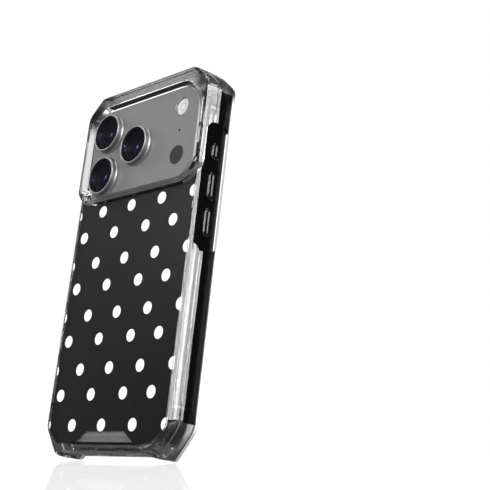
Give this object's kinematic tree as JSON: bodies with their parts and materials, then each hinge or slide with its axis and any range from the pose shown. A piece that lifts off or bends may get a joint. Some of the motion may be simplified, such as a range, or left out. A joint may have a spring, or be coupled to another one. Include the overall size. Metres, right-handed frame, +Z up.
{
  "type": "phone case fitted on a smartphone",
  "caption": "Clear hybrid phone case with a black polka-dot back panel, raised camera guard and button pads, fitted on a plain smartphone with working keys.",
  "frame": {"origin": "bottom centre of the case's bounding box, which stands on its two bottom feet", "axes": "+Z up the phone, +Y out of the dotted back, -Y out of the screen; volume keys on -X, power key on +X"},
  "size_m": [0.079, 0.017, 0.157],
  "materials": {
    "clear_soft": "clear, faintly smoky, glossy",
    "clear_plate": "clear, glossy",
    "black_print": "glossy print",
    "white_print": "glossy print",
    "phone_metal": "fine blasted",
    "key_glass": "satin",
    "band_plastic": "satin",
    "cover_glass": "polished",
    "display": "grey gradient",
    "rear_glass": "satin",
    "lens_metal": "polished ring",
    "lens_glass": "polished",
    "coated_glass": "coated",
    "camera_black": "satin",
    "flash_glass": "fine ribbed",
    "led_phosphor": "matte",
    "dark_glass": "polished",
    "black_plastic": "matte",
    "battery_wrap": "satin film",
    "board": "satin",
    "graphite": "brushed",
    "steel": "satin",
    "copper": "wound"
  },
  "bodies": {
    "case": {"bumper": "clear_soft", "case_back_plate": "clear_plate", "print_film": "black_print", "print_dots": "white_print"},
    "phone": {"phone_frame": "phone_metal", "antenna_bands": "band_plastic", "front_glass": "cover_glass", "display_panel": "display", "display_gasket": "black_plastic", "rear_glass": "rear_glass", "main_lens_ring": "lens_metal", "ultrawide_lens_ring": "lens_metal", "telephoto_lens_ring": "lens_metal", "main_lens_glass": "lens_glass", "ultrawide_lens_glass": "lens_glass", "telephoto_lens_glass": "lens_glass", "main_camera_module": "camera_black", "ultrawide_camera_module": "camera_black", "telephoto_camera_module": "camera_black", "lens_elements": "coated_glass", "flash_lens": "flash_glass", "flash_led": "led_phosphor", "rear_microphone": "black_plastic", "lidar_cover": "dark_glass", "lidar_module": "camera_black", "front_camera_module": "camera_black", "face_sensor_module": "camera_black", "battery": "battery_wrap", "logic_board": "board", "heat_spreader": "graphite", "haptic_motor": "steel", "bottom_speaker": "black_plastic", "earpiece_speaker": "black_plastic", "charging_coil": "copper", "magnet_ring": "steel", "charging_port_shell": "steel", "charging_port_tongue": "black_plastic", "bottom_screws": "steel", "speaker_mesh": "steel", "button_switches": "steel"},
    "action_pad_body": {"action_pad": "clear_soft"},
    "volume_up_pad_body": {"volume_up_pad": "clear_soft"},
    "volume_down_pad_body": {"volume_down_pad": "clear_soft"},
    "power_pad_body": {"power_pad": "clear_soft"},
    "action_button_body": {"action_button": "phone_metal"},
    "volume_up_button_body": {"volume_up_button": "phone_metal"},
    "volume_down_button_body": {"volume_down_button": "phone_metal"},
    "side_button_body": {"side_button": "phone_metal"},
    "camera_control_body": {"camera_control": "key_glass"}
  },
  "joints": [
    {"name": "phone_slide_out", "type": "slide", "parent": "case", "child": "phone", "axis": [0, -1, 0], "range_m": [0, 0.03], "deforming": ["bumper"]},
    {"name": "action_pad_press", "type": "slide", "parent": "case", "child": "action_pad_body", "axis": [1, 0, 0], "range_m": [0, 0.0003], "stiffness_N_per_m": 5000},
    {"name": "action_button_press", "type": "slide", "parent": "phone", "child": "action_button_body", "axis": [1, 0, 0], "range_m": [0, 0.0003], "stiffness_N_per_m": 3000},
    {"name": "volume_up_pad_press", "type": "slide", "parent": "case", "child": "volume_up_pad_body", "axis": [1, 0, 0], "range_m": [0, 0.0003], "stiffness_N_per_m": 5000},
    {"name": "volume_up_button_press", "type": "slide", "parent": "phone", "child": "volume_up_button_body", "axis": [1, 0, 0], "range_m": [0, 0.0003], "stiffness_N_per_m": 3000},
    {"name": "volume_down_pad_press", "type": "slide", "parent": "case", "child": "volume_down_pad_body", "axis": [1, 0, 0], "range_m": [0, 0.0003], "stiffness_N_per_m": 5000},
    {"name": "volume_down_button_press", "type": "slide", "parent": "phone", "child": "volume_down_button_body", "axis": [1, 0, 0], "range_m": [0, 0.0003], "stiffness_N_per_m": 3000},
    {"name": "power_pad_press", "type": "slide", "parent": "case", "child": "power_pad_body", "axis": [-1, 0, 0], "range_m": [0, 0.0003], "stiffness_N_per_m": 5000},
    {"name": "side_button_press", "type": "slide", "parent": "phone", "child": "side_button_body", "axis": [-1, 0, 0], "range_m": [0, 0.0003], "stiffness_N_per_m": 3000},
    {"name": "camera_control_press", "type": "slide", "parent": "phone", "child": "camera_control_body", "axis": [-1, 0, 0], "range_m": [0, 0.0002], "stiffness_N_per_m": 4000}
  ],
  "couplings": [
    {"joint": "action_button_press", "follows": "action_pad_press", "ratio": 1},
    {"joint": "volume_up_button_press", "follows": "volume_up_pad_press", "ratio": 1},
    {"joint": "volume_down_button_press", "follows": "volume_down_pad_press", "ratio": 1},
    {"joint": "side_button_press", "follows": "power_pad_press", "ratio": 1}
  ]
}
